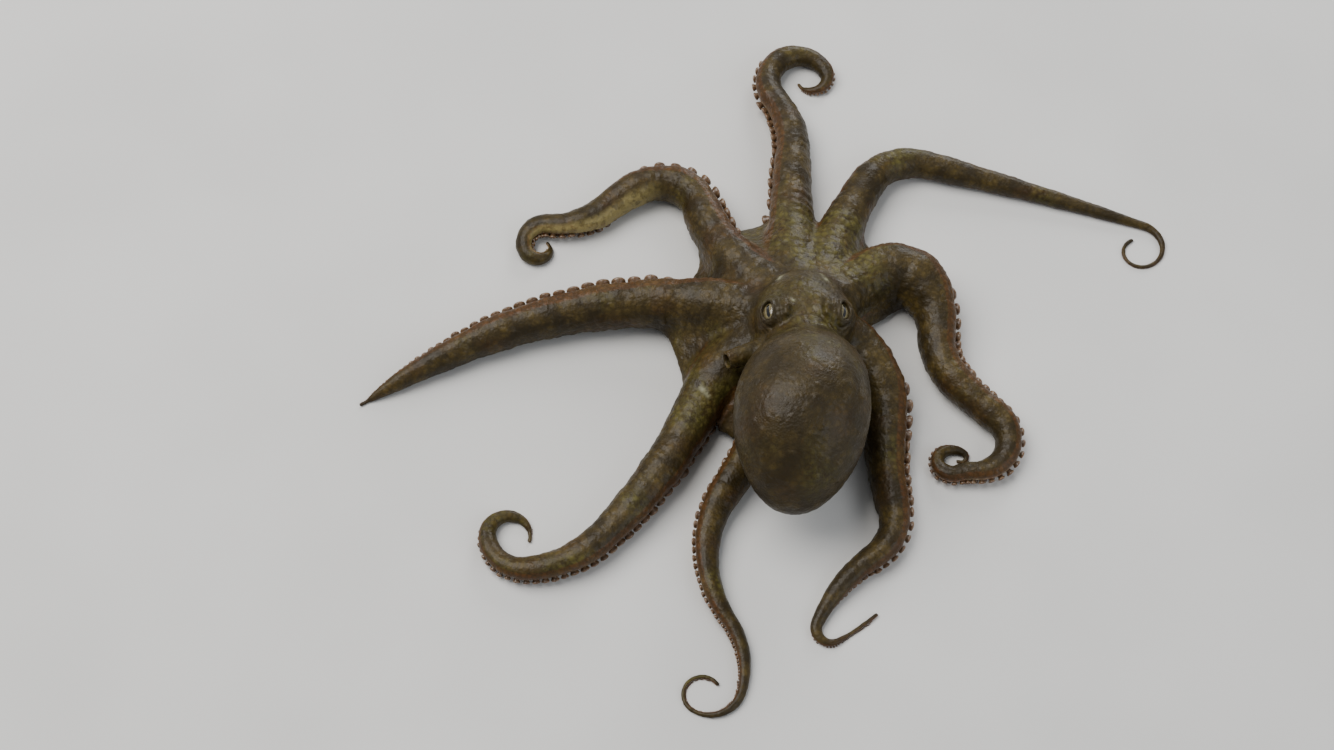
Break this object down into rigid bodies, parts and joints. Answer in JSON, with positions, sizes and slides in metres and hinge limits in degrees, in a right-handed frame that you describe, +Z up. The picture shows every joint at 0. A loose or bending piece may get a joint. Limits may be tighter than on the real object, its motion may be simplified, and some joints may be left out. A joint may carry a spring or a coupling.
{
  "type": "octopus",
  "caption": "Small octopus at rest: sack-shaped mantle behind a low head with raised eyes, and tapering arms joined by a web, spread and curled over the floor.",
  "frame": {"origin": "on the floor, at the centre of the flat under the mouth", "axes": "+X to the animal's right, along its longest spread; +Y the way the head faces, away from the mantle; +Z up from the floor"},
  "size_m": [0.1722, 0.1619, 0.0316],
  "materials": {
    "skin": "wet, soft, mottled dark brown and olive",
    "eye": "wet gloss, pale gold iris with a dark slit"
  },
  "bodies": {
    "root": {"mantle": "skin", "head": "skin", "siphon": "skin", "arm_crown": "skin", "arm_left_1_inner": "skin", "arm_left_1_middle": "skin", "arm_left_1_outer": "skin", "arm_left_1_tip": "skin", "arm_left_2_inner": "skin", "arm_left_2_middle": "skin", "arm_left_2_outer": "skin", "arm_left_2_tip": "skin", "arm_left_3_inner": "skin", "arm_left_3_middle": "skin", "arm_left_3_outer": "skin", "arm_left_3_tip": "skin", "arm_left_4_inner": "skin", "arm_left_4_middle": "skin", "arm_left_4_outer": "skin", "arm_left_4_tip": "skin", "arm_right_1_inner": "skin", "arm_right_1_middle": "skin", "arm_right_1_outer": "skin", "arm_right_1_tip": "skin", "arm_right_2_inner": "skin", "arm_right_2_middle": "skin", "arm_right_2_outer": "skin", "arm_right_2_tip": "skin", "arm_right_3_inner": "skin", "arm_right_3_middle": "skin", "arm_right_3_outer": "skin", "arm_right_3_tip": "skin", "arm_right_4_inner": "skin", "arm_right_4_middle": "skin", "arm_right_4_outer": "skin", "arm_right_4_tip": "skin", "eye_left": "eye", "eye_right": "eye"}
  },
  "joints": []
}
